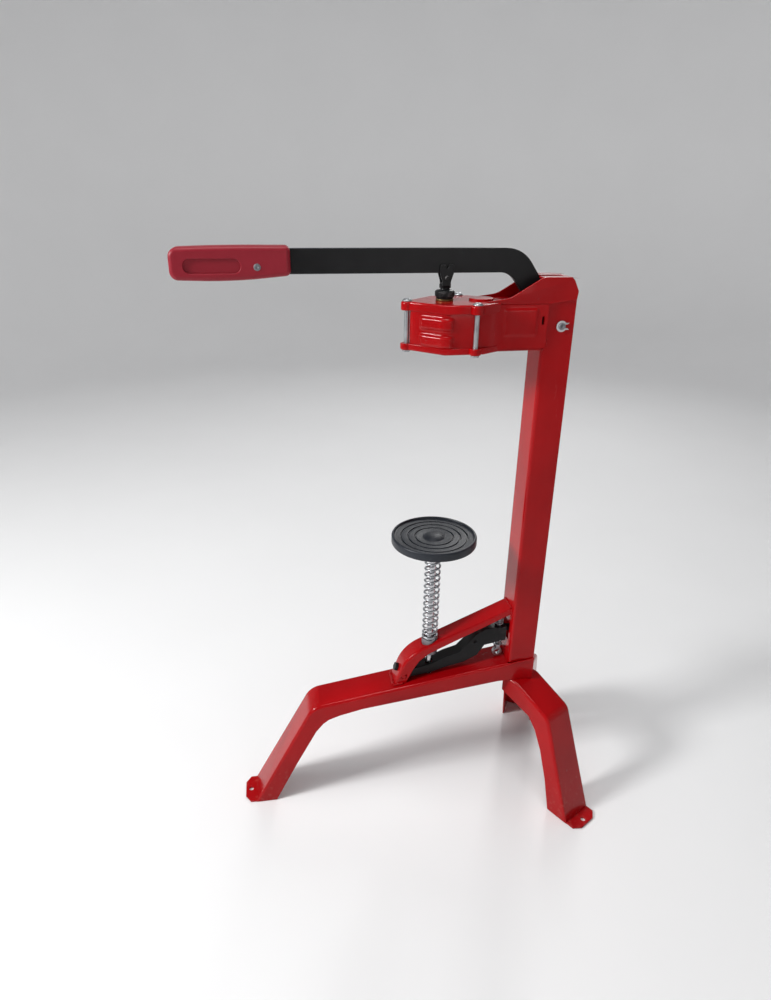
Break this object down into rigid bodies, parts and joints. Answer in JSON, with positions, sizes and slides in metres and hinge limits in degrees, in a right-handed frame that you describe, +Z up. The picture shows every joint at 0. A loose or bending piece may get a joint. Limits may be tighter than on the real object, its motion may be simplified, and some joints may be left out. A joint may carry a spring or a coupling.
{
  "type": "floor corker",
  "caption": "Floor-standing bottle corker: tripod of pressed channel legs, column, jaw head with hand lever and plunger, and a sprung bottle platform with a friction lock.",
  "frame": {"origin": "floor level, at the centre of the overall box with the hand lever down", "axes": "+Z up; -X towards the hand grip and the front foot; +X towards the column; the machine is symmetrical about the XZ plane apart from the pull rod"},
  "size_m": [0.5586, 0.3032, 0.8215],
  "materials": {
    "red_enamel": "gloss",
    "black_steel": "satin",
    "zinc_steel": "satin",
    "bright_steel": "satin",
    "spring_zinc": "satin",
    "rivet_steel": "satin",
    "jaw_steel": "satin",
    "jaw_brass": "satin",
    "bronze": "satin",
    "grip_plastic": "matte",
    "plate_plastic": "matte"
  },
  "bodies": {
    "frame": {"column": "red_enamel", "front_leg": "red_enamel", "rear_leg_near": "red_enamel", "rear_leg_far": "red_enamel", "arch_bracket": "red_enamel", "guide_bush": "zinc_steel", "stop_bolt": "black_steel", "draw_bolt": "zinc_steel", "lock_pin": "zinc_steel", "lock_spring": "spring_zinc", "head_wall": "red_enamel", "head_cover": "red_enamel", "head_floor": "red_enamel", "tie_bolts": "zinc_steel", "tie_nuts": "zinc_steel", "mouth_ring": "jaw_brass", "jaw_cage": "jaw_steel", "jaw_front": "jaw_brass", "plunger_bush": "bronze", "pivot_pin": "zinc_steel", "pivot_clips": "zinc_steel", "pivot_spacers": "zinc_steel"},
    "lever": {"hand_lever": "black_steel", "lever_grip": "grip_plastic", "grip_rivet": "rivet_steel", "toe_pin": "zinc_steel"},
    "plunger": {"plunger_rod": "bright_steel", "depth_collar": "black_steel", "plunger_fork": "black_steel", "fork_roller": "zinc_steel", "fork_pin": "zinc_steel"},
    "near_jaw": {"jaw_near": "jaw_brass"},
    "far_jaw": {"jaw_far": "jaw_brass"},
    "rear_jaw": {"jaw_rear": "jaw_brass", "jaw_pusher": "jaw_steel"},
    "platform": {"bottle_plate": "plate_plastic", "platform_rod": "bright_steel", "stop_ring": "zinc_steel", "platform_spring": "spring_zinc"},
    "lock": {"lock_lever": "black_steel", "tail_pin": "zinc_steel"},
    "pull": {"pull_rod": "zinc_steel"}
  },
  "joints": [
    {"name": "lever_pivot", "type": "hinge", "parent": "frame", "child": "lever", "pos_m": [0.18118, 0, 0.7285], "axis": [0, 1, 0], "range_deg": [0, 22.63]},
    {"name": "plunger_slide", "type": "slide", "parent": "frame", "child": "plunger", "axis": [0, 0, 1], "range_m": [0, 0.0582]},
    {"name": "near_jaw_slide", "type": "slide", "parent": "frame", "child": "near_jaw", "axis": [0.7071, -0.7071, 0], "range_m": [0, 0.0066]},
    {"name": "far_jaw_slide", "type": "slide", "parent": "frame", "child": "far_jaw", "axis": [0.7071, 0.7071, 0], "range_m": [0, 0.0066]},
    {"name": "rear_jaw_slide", "type": "slide", "parent": "frame", "child": "rear_jaw", "axis": [1, 0, 0], "range_m": [0, 0.0094]},
    {"name": "platform_slide", "type": "slide", "parent": "frame", "child": "platform", "axis": [0, 0, 1], "range_m": [-0.1, 0], "stiffness_N_per_m": 800, "springref_m": 0.02, "deforming": ["platform_spring"]},
    {"name": "lock_pivot", "type": "hinge", "parent": "frame", "child": "lock", "pos_m": [-0.00282, 0, 0.2084], "axis": [0, 1, 0], "range_deg": [0, 1.75]},
    {"name": "pull_slide", "type": "slide", "parent": "frame", "child": "pull", "axis": [0, 0, 1], "range_m": [-0.006, 0]}
  ],
  "couplings": [
    {"joint": "plunger_slide", "follows": "lever_pivot", "m_per_rad": 0.147},
    {"joint": "near_jaw_slide", "follows": "lever_pivot", "m_per_rad": 0.016456},
    {"joint": "far_jaw_slide", "follows": "lever_pivot", "m_per_rad": 0.016456},
    {"joint": "rear_jaw_slide", "follows": "lever_pivot", "m_per_rad": 0.023272},
    {"joint": "lock_pivot", "follows": "lever_pivot", "ratio": 0.075377},
    {"joint": "pull_slide", "follows": "lever_pivot", "m_per_rad": -0.015}
  ]
}
